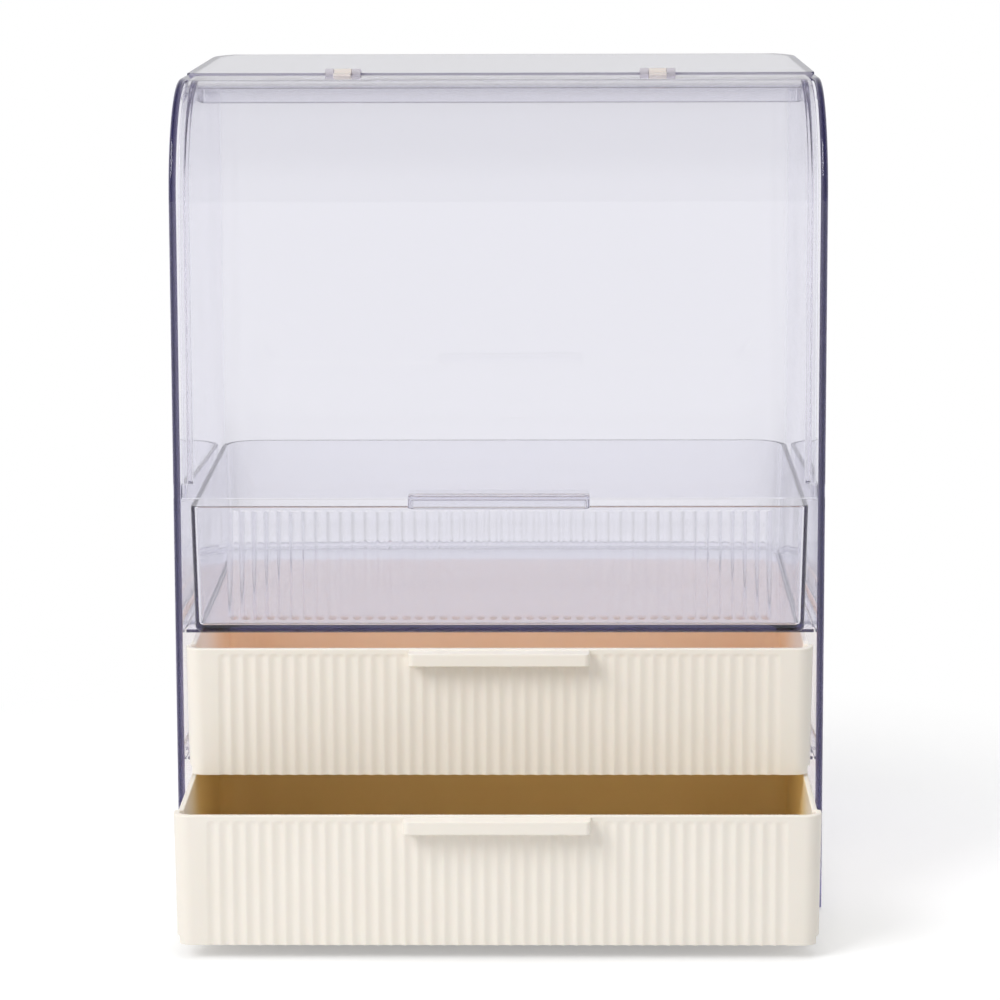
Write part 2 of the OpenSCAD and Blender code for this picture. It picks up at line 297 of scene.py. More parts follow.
def drawer_body(name, y0, floor, top):
    """The hollow drawer without its flutes, left in edit mode."""
    back = y0 + DRAWER_LONG
    piece = block(name, (-DRAWER_HALF, y0, floor), (DRAWER_HALF, back, top))
    pick("FACE", lambda face: face.normal.z < -0.9)
    stretch((DRAWER_LOW / DRAWER_HALF, 1, 1), (0, y0, floor))
    cut((0, 1, 0), [y0 + y for y in SHOULDER])
    for side in (-1, 1):
        pick("VERT", lambda point: point.co.x * side > 0 and point.co.y / MM > y0 + SHOULDER[1] - 0.1)
        move((-side * BODY_STEP, 0, 0))
    round_edges(FRONT_ROUND, 8, upright(y0))
    round_edges(TAIL_ROUND, 12, upright(back))
    round_edges(KEEL_ROUND, 4, lambda edge: (
        all_points(edge, lambda p: near(p.z, floor) and p.y > y0 + SHOULDER[1] - 0.1)
        and abs(sum(face.normal.z for face in edge.link_faces)) < 1.5))
    return piece


def round_floor(level, steps):
    """Rounds the edges between the inner floor and the walls."""
    round_edges(INNER_ROUND, steps, lambda edge: all_points(edge, lambda p: near(p.z, level))
                and any(abs(face.normal.z) < 0.5 for face in edge.link_faces))


def skirt_and_hollow(y0, floor, top):
    """Hangs the front's skirt below the floor, then hollows the drawer from above."""
    cut((0, 1, 0), [y0 + FRONT_WALL], lambda face: face.normal.z < -0.9)
    pick("FACE", lambda face: face.normal.z < -0.9 and place_of(face).y < y0 + FRONT_WALL)
    push_down(SKIRT)
    pick("FACE", lambda face: face.normal.z > 0.9)
    bpy.ops.mesh.inset(thickness=DRAWER_WALL * MM)
    rim = y0 + DRAWER_WALL - 0.1
    pick("VERT", lambda point: (
        near(point.co.z / MM, top) and rim < point.co.y / MM < y0 + FRONT_ROUND + 0.1
        and abs(point.co.x / MM) < DRAWER_HALF - DRAWER_WALL + 0.1))
    move((0, FRONT_WALL - DRAWER_WALL, 0))
    inside = (rim, y0 + DRAWER_LONG - DRAWER_WALL + 0.1)
    pick("FACE", lambda face: face.normal.z > 0.9 and abs(place_of(face).x) < DRAWER_HALF / 2
         and all_points(face, lambda p: inside[0] < p.y < inside[1]))
    push_down(top - floor - FLOOR_THICK)
    stretch((DRAWER_LOW / DRAWER_HALF, 1, 1), (0, y0, floor))
    round_floor(floor + FLOOR_THICK, 3)


lower_drawer = drawer_body("lower_drawer_fluted", LOWER_FRONT, LOWER_FLOOR, LOWER_TOP)
skirt_and_hollow(LOWER_FRONT, LOWER_FLOOR, LOWER_TOP)
print("drawer body", len(lower_drawer.data.polygons), "faces before the flutes")

# %% [markdown]
# ## Flutes
# The front carries 44 shallow upright hollows, 5.31 mm apart. A texture could imitate them, but their
# lower ends show as a scalloped edge, so they are real. The flat field is divided into equal columns,
# and its points are pressed in by a soft wave, which starts gently under the plain rim.

# %% Press the flutes
FLUTE_DEEP = 0.55
FLUTE_POWER = 1.3


def divide_field(half, front, rows, count, lowest, highest, columns=10):
    """Divides a flat front into a grid: cuts at the rows, and equal columns across the field."""
    flat = lambda face: face.normal.y < -0.99 and near(place_of(face).y, front)
    cut((1, 0, 0), [-half, half], flat)
    cut((0, 0, 1), rows, lambda face: flat(face) and abs(place_of(face).x) < half)
    level = lambda edge: (all_points(edge, lambda p: near(p.y, front) and abs(p.x) < half + 0.05
                                     and lowest - 0.05 < p.z < highest + 0.05)
                          and near(edge.verts[0].co.z / MM, edge.verts[1].co.z / MM))
    pick("EDGE", level)
    bpy.ops.mesh.subdivide(number_cuts=count - 1)
    pick("EDGE", level)
    bpy.ops.mesh.subdivide(number_cuts=columns - 1)


def soft_start(z, top, length):
    """0 at the top of the flutes, and 1 a little lower."""
    t = min(max((top - z) / length, 0.0), 1.0)
    return t * t * (3 - 2 * t)


DRAWER_PITCH = 5.31
DRAWER_FLUTES = 44
FLUTE_BAND = 1.6
FLUTE_START = 2.4
FLUTE_ROWS = (0, 0.4, 0.8, 1.2, 1.7, FLUTE_START)
field = DRAWER_PITCH * DRAWER_FLUTES / 2
flute_top = LOWER_TOP - FLUTE_BAND
divide_field(field, LOWER_FRONT, [flute_top - row for row in FLUTE_ROWS],
             DRAWER_FLUTES, LOWER_FLOOR - SKIRT, flute_top)


def drawer_flute(p):
    """A soft wave: 0 on the land between two flutes, deepest in the middle of a flute."""
    if not near(p.y, LOWER_FRONT) or abs(p.x) > field or p.z > flute_top:
        return 0.0
    wave = math.sin(math.pi * ((p.x / DRAWER_PITCH + DRAWER_FLUTES / 2) % 1.0)) ** FLUTE_POWER
    return FLUTE_DEEP * wave * soft_start(p.z, flute_top, FLUTE_START)


print("flute depths", press(drawer_flute, (0, 1, 0)))


def skirt_corner(p):
    """How far a point of the skirt's lower edge rises towards its round corner."""
    past = abs(p.x) - (DRAWER_LOW - KEEL_ROUND)
    if p.z > LOWER_FLOOR - SKIRT + 0.05 or past <= 0:
        return 0.0
    return KEEL_ROUND - math.sqrt(max(KEEL_ROUND ** 2 - past ** 2, 0.0))


press(skirt_corner, (0, 0, 1))

# %% [markdown]
# ## Soft rims of the drawers
# A moulded rim is never sharp. Its small round catches a bright line along the top of each front, and
# so it gets a round of its own. The lower lip is softened as far as the ends of the flutes allow.

# %% Round the drawer's rims
def sharp_at(level):
    """A test for the sharp edges at a height."""
    return lambda edge: (all_points(edge, lambda p: near(p.z, level))
                         and edge.calc_face_angle(0.0) > 0.9)


print("rim edges", round_edges(RIM_ROUND, 4, sharp_at(LOWER_TOP)))
print("lip edges", round_edges(LIP_ROUND, 2, sharp_at(LOWER_FLOOR - SKIRT)))
close_piece(lower_drawer)
upper_drawer = copy_of(lower_drawer, "upper_drawer_fluted", UPPER_SHIFT)
fit(lower_drawer, "lower_drawer_group", "cream_plastic", "lower_drawer")
fit(upper_drawer, "upper_drawer_group", "cream_plastic", "upper_drawer")

# %% [markdown]
# ## The clear tray
# The tray is moulded in the same way, in clear plastic with a thicker floor. Its flutes end in round
# balls above the floor, where the mould's cutter was lifted out, and stop square below the rim. Clear
# plastic bends what stands behind it, so walls and hollows have to be real.

# %% Tray
TRAY_HALF = 128.33
TRAY_LOW = 127.03
TRAY_SET = 3.0
TRAY_LONG = 186.0
TRAY_FRONT = FRONT + TRAY_SET
TRAY_BACK = TRAY_FRONT + TRAY_LONG
TRAY_BASE = 117.7
TRAY_RIM = 171.1
TRAY_WALL = 2.2
TRAY_FLOOR = 2.9
TRAY_CORNER = 4.0
TRAY_KEEL = 2.4
TRAY_EDGE = 0.5
TRAY_PITCH = 5.15
TRAY_FLUTES = 44
FLUTE_LAND = 1.0
BALL = (TRAY_PITCH - FLUTE_LAND) / 2
BALL_Z = TRAY_BASE + TRAY_FLOOR + KEEL_ROUND + BALL

tray = block("tray_fluted", (-TRAY_HALF, TRAY_FRONT, TRAY_BASE), (TRAY_HALF, TRAY_BACK, TRAY_RIM))
pick("FACE", lambda face: face.normal.z < -0.9)
stretch((TRAY_LOW / TRAY_HALF, 1, 1), (0, TRAY_FRONT, TRAY_BASE))
round_edges(TRAY_CORNER, 8, upright(TRAY_FRONT))
round_edges(TAIL_ROUND, 14, upright(TRAY_BACK))
round_edges(TRAY_KEEL, 5, lambda edge: all_points(edge, lambda p: near(p.z, TRAY_BASE)))
pick("FACE", lambda face: face.normal.z > 0.9)
bpy.ops.mesh.inset(thickness=TRAY_WALL * MM)
push_down(TRAY_RIM - TRAY_BASE - TRAY_FLOOR)
stretch((TRAY_LOW / TRAY_HALF, 1, 1), (0, TRAY_FRONT, TRAY_BASE))
tray_floor = TRAY_BASE + TRAY_FLOOR
round_floor(tray_floor, 4)
print("tray inside is", round(TRAY_RIM - tray_floor, 1), "mm deep")

# %% Tray flutes
BALL_ROWS = (0, 0.3, 0.55, 0.75, 0.9, 1.0)
BALL_POWER = 0.8
TRAY_RUN_OUT = 0.6
tray_field = TRAY_PITCH * TRAY_FLUTES / 2
tray_flute_top = TRAY_RIM - FLUTE_BAND
ball_rows = [BALL_Z - BALL * row for row in BALL_ROWS]
top_rows = [tray_flute_top - row for row in (0, TRAY_RUN_OUT / 2, TRAY_RUN_OUT)]
divide_field(tray_field, TRAY_FRONT, ball_rows + top_rows, TRAY_FLUTES, ball_rows[-1], tray_flute_top)


def tray_flute(p):
    if not near(p.y, TRAY_FRONT) or abs(p.x) > tray_field or p.z > tray_flute_top:
        return 0.0
    across = ((p.x / TRAY_PITCH + TRAY_FLUTES / 2) % 1.0 - 0.5) * TRAY_PITCH
    down = max(BALL_Z - p.z, 0.0)
    apart = min(math.hypot(across, down) / BALL, 1.0)
    run_out = soft_start(p.z, tray_flute_top, TRAY_RUN_OUT)
    return FLUTE_DEEP * (1 - apart ** 2) ** BALL_POWER * run_out


print("flute depths", press(tray_flute, (0, 1, 0)))
close_piece(tray, edge=TRAY_EDGE)
fit(tray, "tray_group", "clear_plastic", "tray")

# %% [markdown]
# ## Bar pulls
# The drawers and the door share one pull, a hooded bar with a round plan and a finger hollow below.
# It is modelled once and copied. Those on the drawers grow out of the front, so they run a little into
# it. The one on the door is clear and is bonded on, so it stays a hair off the door.

# %% Pulls
PULL_WIDE = 75.0
PULL_HIGH = 5.4
PULL_OUT = 8.0
PULL_SHELL = 1.6
PULL_TOP = LOWER_TOP - 0.6
INTO_FRONT = 0.6
PULL_CORNER = 2.4
PULL_EDGE = 0.55


def bar_pull(name, front, top, inward):
    """A hooded bar whose back lies inward from the plane at front."""
    piece = block(name, (-PULL_WIDE / 2, front - PULL_OUT, top - PULL_HIGH),
                  (PULL_WIDE / 2, front + inward, top))
    round_edges(PULL_CORNER, 6, upright(front - PULL_OUT))
    pick("FACE", lambda face: face.normal.z < -0.9)
    bpy.ops.mesh.inset(thickness=PULL_SHELL * MM)
    push_down(-(PULL_HIGH - PULL_SHELL))
    close_piece(piece, edge=PULL_EDGE)
    return piece


lower_pull = bar_pull("lower_drawer_bar_pull", LOWER_FRONT, PULL_TOP, INTO_FRONT)
upper_pull = copy_of(lower_pull, "upper_drawer_bar_pull", UPPER_SHIFT)
fit(lower_pull, "lower_drawer_group", "cream_plastic", "lower_drawer_pull")
fit(upper_pull, "upper_drawer_group", "cream_plastic", "upper_drawer_pull")

# %% Door pull
DOOR_LOW = 174.5
PULL_DROP = 2.8
PULL_GAP = 0.03
DOOR_FACE = FRONT + 0.6
clear_pull = bar_pull("door_bar_pull", DOOR_FACE, DOOR_LOW - PULL_DROP + PULL_HIGH, -PULL_GAP)
fit(clear_pull, "door_group", "clear_plastic", "door_pull")

# %% [markdown]
# ## The case shell
# The case is one deep moulding: two drafted side walls, a back with round upright corners, and the rear
# half of the top. Its side walls end in front in a large quarter curve and a full round edge, which
# catches a white line. It is modelled as a skin first. A block is narrowed towards the back, its front
# top edge gets the 48 mm curve and its back corners their rounds. The open sides are deleted, a solidify
# modifier gives the skin its 3 mm wall, and the open edges are rounded afterwards.

# %% Skin of the case
CASE_HALF = 135.0
CASE_DEEP = 225.0
CASE_TOP = 345.5
CASE_LOW = 0.4
CASE_WALL = 3.0
DRAFT = 3.6
SLOPE = DRAFT / CASE_DEEP
NOSE = 48.0
BACK_ROUND = 28.0
CROWN = 9.0
CROWN_BAND = 1.7 * CROWN
CROWN_TURNS = (0, 15, 30, 45, 60, 72, 82)
RIM = 1.42
RIM_OUT = 128.0
TOP_ROUND = 1.0
PANEL_FRONT = 80.95
PANEL_STEP = 1.05
HINGE_X = 67.0
HINGE_Y = 79.2
HINGE_ROOM = 16.1
AXIS_Y = FRONT + HINGE_Y
PANEL_Y = FRONT + PANEL_FRONT
CASE_BACK = FRONT + CASE_DEEP
HINGE_SIDES = [side * HINGE_X + end * HINGE_ROOM / 2 for side in (-1, 1) for end in (-1, 1)]


def drafted_block(name, inset, y0, y1, z0, z1):
    """A block that follows the case's plan at an inset, between two depths behind the front plane."""
    half = CASE_HALF - inset - SLOPE * y0
    piece = block(name, (-half, FRONT + y0, z0), (half, FRONT + y1, z1))
    pick("FACE", lambda face: face.normal.y > 0.9)
    stretch(((half - SLOPE * (y1 - y0)) / half, 1, 1), (0, FRONT + y1, z0))
    return piece


case = drafted_block("case_shell_moulded", 0, 0, CASE_DEEP, CASE_LOW, CASE_TOP)
round_edges(NOSE, 28, lambda edge: all_points(edge, lambda p: near(p.z, CASE_TOP) and near(p.y, FRONT)))
round_edges(BACK_ROUND, 16, upright(CASE_BACK))
is_top = lambda face: face.normal.z > 0.99 and near(place_of(face).z, CASE_TOP)
crown_start = CASE_BACK - CROWN
cut((0, 1, 0), [crown_start + CROWN * math.sin(math.radians(turn)) for turn in CROWN_TURNS], is_top)


def thicken(piece, thickness):
    """Opens a skin at the chosen faces and gives the rest a wall, inwards."""
    bpy.ops.mesh.delete(type="FACE")
    leave()
    wall = piece.modifiers.new("wall", "SOLIDIFY")
    wall.thickness = thickness * MM
    wall.offset = -1
    wall.use_even_offset = True
    bpy.ops.object.modifier_apply(modifier=wall.name)
    print(piece.name, len(piece.data.polygons), "faces with its wall")


def at_hinge(face):
    """Whether a face lies in the room of a hinge."""
    return abs(abs(place_of(face).x) - HINGE_X) < HINGE_ROOM / 2 - 0.1


def crown_drop(p):
    """How far the top sinks towards the back to make the round crown."""
    past = p.y - crown_start
    if past <= 0 or p.z < CASE_TOP - 0.05:
        return 0.0
    return CROWN - math.sqrt(max(CROWN ** 2 - past ** 2, 0.0))


press(crown_drop, (0, 0, -1))
cut((0, 0, 1), [CASE_TOP - CROWN_BAND], lambda face: abs(face.normal.z) < 0.5)
cut((0, 1, 0), [PANEL_Y, PANEL_Y + PANEL_STEP], is_top)
on_step = lambda face: is_top(face) and place_of(face).y < PANEL_Y + PANEL_STEP
cut((1, 0, 0), HINGE_SIDES, on_step)
pick("FACE", lambda face: (
    face.normal.z < -0.9 or (face.normal.y < -0.02 and place_of(face).y < FRONT + NOSE)
    or (is_top(face) and place_of(face).y < PANEL_Y) or (on_step(face) and at_hinge(face))))
thicken(case, CASE_WALL)

# %% Round the case's edges
bpy.ops.object.mode_set(mode="EDIT")


def bend_of(edge):
    """How far the surface turns over an edge, in degrees."""
    return math.degrees(edge.calc_face_angle(0.0))


def on_rim(p):
    """Whether a place is on the open edge of a side wall, as far back as the panel."""
    out = CASE_TOP - NOSE
    if p.y > PANEL_Y + 0.1:
        return False
    if p.z <= out + 0.1:
        return p.y < FRONT + 0.1
    if p.y >= FRONT + NOSE - 0.1:
        return p.z > CASE_TOP - 0.1
    return math.hypot(p.y - FRONT - NOSE, p.z - out) > NOSE - 0.15


print("rim edges", round_edges(RIM, 6, lambda edge: (
    bend_of(edge) > 60 and all_points(edge, on_rim) and all_points(edge, lambda p: abs(p.x) > RIM_OUT))))
print("other edges", round_edges(TOP_ROUND, 3, lambda edge: (
    bend_of(edge) > 60 and all_points(edge, lambda p: (
        p.z > CASE_TOP - 0.05 and PANEL_Y + 4 < p.y < crown_start)))))
leave()

# %% [markdown]
# ## Base, ledges, stops and foot seats
# The case has a base plate near its lower edge, two narrow ledges that carry loose shelves, stops for
# the lower corners of the door and four seats for the feet. In clear plastic a face that two solids
# share shows as a false mirror, so these are united with the shell by exact booleans and don't just
# overlap it.

# %% Unite the inner parts with the shell
DECKS = (62.9, 117.4)
SHELF_THICK = 1.4
LEDGE_THICK = 1.6
SINK = 1.5
BASE = (4.0, 5.4, 8.4)
LEDGE_FRONT = 32.0
LEDGE_WIDE = 6.0
ROOM_PAST = 12.0
ROOM_HIGH = 10.0
STOP_IN = 2.4
STOP_SINK = 0.8
STOP_DEPTH = (3.3, 8.3)
STOP_HIGH = 5.6
SEAT_AWAY = 16.0
SEAT_RADIUS = 7.5
SEAT_HIGH = 5.4
SEAT_Z = 4.3


def inner_plate(name, inset, y0, y1, z0, z1):
    """A plate that follows the plan of the case, with round back corners."""
    plate = drafted_block(name, inset, y0, y1, z0, z1)
    round_edges(BACK_ROUND - inset, 16, upright(FRONT + y1))
    leave()
    return plate


combine(case, inner_plate("base_plate", SINK, BASE[0], CASE_DEEP - SINK, BASE[1], BASE[2]), "UNION")
for deck in DECKS:
    ledge_top = deck - SHELF_THICK
    ledge = inner_plate("ledge", SINK, LEDGE_FRONT, CASE_DEEP - SINK, ledge_top - LEDGE_THICK, ledge_top)
    room = inner_plate("room", LEDGE_WIDE, LEDGE_FRONT - ROOM_PAST, CASE_DEEP - LEDGE_WIDE,
                       ledge_top - ROOM_HIGH / 2, ledge_top + ROOM_HIGH / 2)
    combine(ledge, room, "DIFFERENCE")
    combine(case, ledge, "UNION")
for side in (-1, 1):
    reach = sorted(side * (CASE_HALF - CASE_WALL + step) for step in (-STOP_IN, STOP_SINK))
    stop = block("door_stop", (reach[0], FRONT + STOP_DEPTH[0], DOOR_LOW),
                 (reach[1], FRONT + STOP_DEPTH[1], DOOR_LOW + STOP_HIGH))
    leave()
    combine(case, stop, "UNION")
    for y in (SEAT_AWAY, CASE_DEEP - CASE_WALL - SEAT_AWAY):
        x = side * (CASE_HALF - SLOPE * y - CASE_WALL - SEAT_AWAY)
        seat = start("foot_seat", bpy.ops.mesh.primitive_cylinder_add, (x, FRONT + y, SEAT_Z),
                     (SEAT_RADIUS, SEAT_RADIUS, SEAT_HIGH), radius=1, depth=1, vertices=48)
        leave()
        combine(case, seat, "UNION")
choose(case)
close_piece(case)
fit(case, "case", "clear_plastic", "case_shell")

# %% [markdown]
# ## The loose shelves
# Two thin clear plates, punched from sheet, lie on the ledges. Only their edges are softened.

# %% Shelves
SHELF_SET = 3.3
SHELF_FRONT = 12.0
SHELF_PLAY = 0.05
SHELF_EDGE = 0.3
shelves = []
for name, deck in (("drawer_shelf_plate", DECKS[0]), ("tray_shelf_plate", DECKS[1])):
    shelf = inner_plate(name, SHELF_SET, SHELF_FRONT, CASE_DEEP - SHELF_SET,
                        deck - SHELF_THICK + SHELF_PLAY, deck)
    close_piece(shelf, edge=SHELF_EDGE, steps=2)
    fit(shelf, "case", "clear_plastic", name.replace("_plate", ""))
    shelves.append(shelf)

# %% [markdown]
# ## The door
# The door carries the case's curve on from the top down to the tray. It is a bent clear sheet with a
# thin flange inside each side and one across, next to the hinges, all moulded in one. The skin is made
# as the case's was, and the flanges are drawn out of its inner faces along their normals.

# %% Door skin
DOOR_HALF = 131.0
DOOR_SET = 0.6
DOOR_WALL = 2.4
DOOR_REAR = 79.9
FLANGE_SET = 2.2
FLANGE_WALL = 1.8
FLANGE_DEEP = 6.0
RIB_MORE = 2.2
TIP_ROUND = 0.85
DOOR_EDGE = 0.5
HINGE_CUT = 2.8
FLANGE_LOW = 181.0
door_top = CASE_TOP - DOOR_SET
door_inset = CASE_HALF - SLOPE * DOOR_SET - DOOR_HALF
door = drafted_block("door_curved_sheet", door_inset, DOOR_SET, DOOR_REAR, DOOR_LOW, door_top)
round_edges(NOSE - DOOR_SET, 28, lambda edge: all_points(edge, lambda p: near(p.z, door_top)
                                                         and near(p.y, DOOR_FACE)))
door_is_top = lambda face: face.normal.z > 0.99
cut((0, 1, 0), [AXIS_Y - HINGE_CUT], door_is_top)
cut((1, 0, 0), HINGE_SIDES,
    lambda face: door_is_top(face) and place_of(face).y > AXIS_Y - HINGE_CUT - 0.1)
pick("FACE", lambda face: (
    face.normal.z < -0.9 or face.normal.y > 0.9 or abs(face.normal.x) > 0.9
    or (place_of(face).y > AXIS_Y - HINGE_CUT and at_hinge(face))))
thicken(door, DOOR_WALL)

# %% Door flanges
bpy.ops.object.mode_set(mode="EDIT")
flange_out = DOOR_HALF - FLANGE_SET
flange_rear = HINGE_Y - FLANGE_DEEP


def faces_in(face):
    """Whether a face lies on the inner side of the door's sheet."""
    middle = place_of(face)
    out = Vector((0, FRONT + NOSE, CASE_TOP - NOSE))
    if middle.z < out.z:
        return face.normal.y > 0.9 and near(middle.y, FRONT + DOOR_SET + DOOR_WALL, 0.2)
    if middle.y > out.y:
        return face.normal.z < -0.9 and near(middle.z, door_top - DOOR_WALL, 0.2)
    arm = Vector((0, middle.y - out.y, middle.z - out.z))
    return (arm.length < NOSE - DOOR_SET - DOOR_WALL + 0.2 and face.normal.dot(arm) < 0
            and abs(face.normal.x) < 0.5)


for side in (-1, 1):
    for x in (flange_out, flange_out - FLANGE_WALL):
        normal = Vector((side, SLOPE, 0)).normalized()
        cut(normal, [(x + SLOPE * FRONT) / math.hypot(1, SLOPE)], faces_in)
cut((0, 0, 1), [FLANGE_LOW], faces_in)
cut((0, 1, 0), [FRONT + flange_rear - FLANGE_WALL, FRONT + flange_rear],
    lambda face: faces_in(face) and place_of(face).z > CASE_TOP - 10)


def flange_strip(face):
    """Whether an inner face belongs to the side strips or the strip across that become flanges."""
    middle = place_of(face)
    edge = flange_out - SLOPE * (middle.y - FRONT)
    across = abs(middle.x)
    if not faces_in(face) or middle.z < FLANGE_LOW or middle.y > FRONT + flange_rear:
        return False
    beside = edge - FLANGE_WALL - 0.1 < across < edge + 0.1
    return beside or (across < edge and middle.y > FRONT + flange_rear - FLANGE_WALL)


print("flange faces", pick("FACE", flange_strip))
bpy.ops.mesh.extrude_region_shrink_fatten(
    TRANSFORM_OT_shrink_fatten={"value": FLANGE_DEEP * MM, "use_even_offset": True})
bpy.ops.mesh.region_to_loop()
bpy.ops.mesh.bevel(offset=TIP_ROUND * MM, segments=4, clamp_overlap=True)
tip = door_top - DOOR_WALL - FLANGE_DEEP
print("points at the tip across", pick("VERT", lambda point: (
    point.co.z / MM < tip + TIP_ROUND + 0.02 and point.co.z / MM > tip - 0.05
    and point.co.y / MM > FRONT + flange_rear - FLANGE_WALL - 0.05)))
move((0, 0, -RIB_MORE))
close_piece(door, edge=DOOR_EDGE, sharp=60)
fit(door, "door_group", "clear_plastic", "door")

# %% [markdown]
# ## Hinges
# Each hinge is a small clear bracket with two knuckles on the top panel, and a cream barrel between them
# on the door. A steel pin runs through all three. The knuckles are rods with softened ends, united with
# their leaf.

# %% Hinge brackets and barrels
HINGE_Z = 345.2
KNUCKLE = 2.3
KNUCKLE_WIDE = 3.7
BARREL_WIDE = 7.4
BRACKET_WIDE = 15.1
LEAF_LONG = 9.0
KNUCKLE_ROUND = 0.3
LEAF_ROUND = 0.4
BARREL_LEAF_Z = (HINGE_Z - 0.3, HINGE_Z + 0.7)
BRACKET_LEAF_Z = (HINGE_Z + 0.32, HINGE_Z + 1.3)
TONGUE_LONG = 5.0
INSET = 0.01


def rod(name, x, length):
    """A short rod on the hinge's axis with softened ends."""
    piece = start(name, bpy.ops.mesh.primitive_cylinder_add, (x, AXIS_Y, HINGE_Z),
                  (KNUCKLE, KNUCKLE, length), radius=1, depth=1, vertices=40,
                  rotation=(0, math.pi / 2, 0))
    round_edges(KNUCKLE_ROUND, 3, lambda edge: near(edge.verts[0].co.x, edge.verts[1].co.x, 0.0001))
    leave()
    return piece


def leaf(name, low, high):
    """A hinge leaf with softened upright corners."""
    piece = block(name, low, high)
    round_edges(LEAF_ROUND, 3, lambda edge: abs(edge.verts[0].co.z - edge.verts[1].co.z) > 0.5 * MM)
    leave()
    return piece


barrels, brackets = [], []
for label, side in (("left", -1), ("right", 1)):
    x = side * HINGE_X
    barrel = rod("hinge_barrel_rod_" + label, x, BARREL_WIDE)
    combine(barrel, leaf("leaf", (x - BARREL_WIDE / 2, AXIS_Y - LEAF_LONG, BARREL_LEAF_Z[0]),
                         (x + BARREL_WIDE / 2, AXIS_Y, BARREL_LEAF_Z[1])), "UNION")
    choose(barrel)
    close_piece(barrel)
    fit(barrel, "door_group", "cream_plastic", "hinge_barrel_" + label)
    barrels.append(barrel)
    bracket = leaf("hinge_bracket_leaf_" + label,
                   (x - BRACKET_WIDE / 2, AXIS_Y + HINGE_CUT, BRACKET_LEAF_Z[0]),
                   (x + BRACKET_WIDE / 2, AXIS_Y + LEAF_LONG, BRACKET_LEAF_Z[1]))
    for end in (-1, 1):
        middle = x + end * (BRACKET_WIDE - KNUCKLE_WIDE) / 2
        reach = KNUCKLE_WIDE / 2 - INSET
        tongue = leaf("tongue", (middle - reach, AXIS_Y, BRACKET_LEAF_Z[0] + INSET),
                      (middle + reach, AXIS_Y + TONGUE_LONG, BRACKET_LEAF_Z[1] - INSET))
        combine(bracket, tongue, "UNION")
        combine(bracket, rod("knuckle", middle, KNUCKLE_WIDE), "UNION")
    choose(bracket)
    close_piece(bracket)
    fit(bracket, "case", "clear_plastic", "hinge_bracket_" + label)
    brackets.append(bracket)

# %% [markdown]
# ## Small tools for materials
# Colours are written as sRGB hex values, which one function turns to linear. Another adds a node with
# its settings and links. The nodes that are used most have functions of their own.

# %% Colour and node helpers
def colour(hex_value):
    """A linear RGBA colour from an sRGB hex value."""
    parts = [int(hex_value[i:i + 2], 16) / 255 for i in (1, 3, 5)]
    return [c / 12.92 if c <= 0.04045 else ((c + 0.055) / 1.055) ** 2.4 for c in parts] + [1.0]


def add(tree, kind, settings=None, **inputs):
    """Adds a node. Settings are its own properties. An input takes a value or another node's socket."""
    node = tree.nodes.new(kind)
    for name, value in (settings or {}).items():
        setattr(node, name, value)
    for name, value in inputs.items():
        key = int(name[2:]) if name.startswith("in") and name[2:].isdigit() else name.replace("_", " ")
        socket = node.inputs[key]
        if isinstance(value, bpy.types.NodeSocket):
            tree.links.new(value, socket)
        else:
            socket.default_value = value
    return node


def maths(tree, operation, *values):
    """The result of one operation on values or sockets."""
    inputs = {"in%d" % i: value for i, value in enumerate(values)}
    return add(tree, "ShaderNodeMath", {"operation": operation}, **inputs).outputs[0]


def ramp(tree, value, start_at, end_at, first=0.0, last=1.0):
    """A smooth change from the first level to the last while the value goes from start to end."""
    return add(tree, "ShaderNodeMapRange", {"interpolation_type": "SMOOTHSTEP"}, Value=value,
               From_Min=start_at, From_Max=end_at, To_Min=first, To_Max=last).outputs["Result"]


def between(tree, share, low, high):
    """A level between two others, for a share from 0 to 1."""
    return add(tree, "ShaderNodeMapRange", Value=share, To_Min=low, To_Max=high).outputs["Result"]


def blend(tree, share, first, second):
    """A mix of two colours, each given as an sRGB hex value or a socket."""
    ends = [colour(tone) if isinstance(tone, str) else tone for tone in (first, second)]
    return add(tree, "ShaderNodeMix", {"data_type": "RGBA"}, in0=share, in6=ends[0],
               in7=ends[1]).outputs[2]


def noise(tree, place, size_mm, detail=2.0):
    """Soft noise whose patches are about size_mm wide."""
    return add(tree, "ShaderNodeTexNoise", Vector=place, Scale=1 / (size_mm * MM),
               Detail=detail).outputs["Fac"]


def new_material(name):
    """A node material, its tree, its output node and the place on the object."""
    material = bpy.data.materials.new(name)
    material.use_nodes = True
    tree = material.node_tree
    tree.nodes.clear()
    out = tree.nodes.new("ShaderNodeOutputMaterial")
    return material, tree, out, add(tree, "ShaderNodeTexCoord").outputs["Object"]


def coat(material, *pieces):
    """Gives pieces one material all over."""
    for piece in pieces:
        piece.data.materials.clear()
        piece.data.materials.append(material)
    print(material.name, "on", len(pieces), "pieces")


# %% [markdown]
# ## Clear plastic
# The case, door, tray and shelves are injection-moulded SAN, a styrene plastic that is as clear as
# glass and bends light more than acrylic does (IOR 1.57). Its faint violet tint barely shows through
# one wall. Light that runs along inside a wall has to cross 100 to 300 mm of it, so the edges turn
# navy. That is absorption in the volume and not a surface colour. Moulding leaves the surface very
# slightly wavy over 30 to 40 mm, and fine scratches scatter about 3 % of the light, which keeps the
# long edges from going black.
#
# The mixes differ a little. The case is large and gets less of the tint, the tray is the clearest, and
# the knuckles of the hinges and the front edge of the top come satin from the mould.

# %% Clear plastic material
SAN_IOR = 1.57
WAVE_MM = 35
WAVE_STRENGTH = 0.05
WAVE_HEIGHT_MM = 0.4
HAZE_MM = 6
POLISH = (0.005, 0.02)
CASE_TINT = "#3200C0"
CASE_DENSITY = 6.5
SATIN_MOULD = {"frost": 0.2, "dull_share": 0.6, "dull_node": "ShaderNodeBsdfDiffuse"}


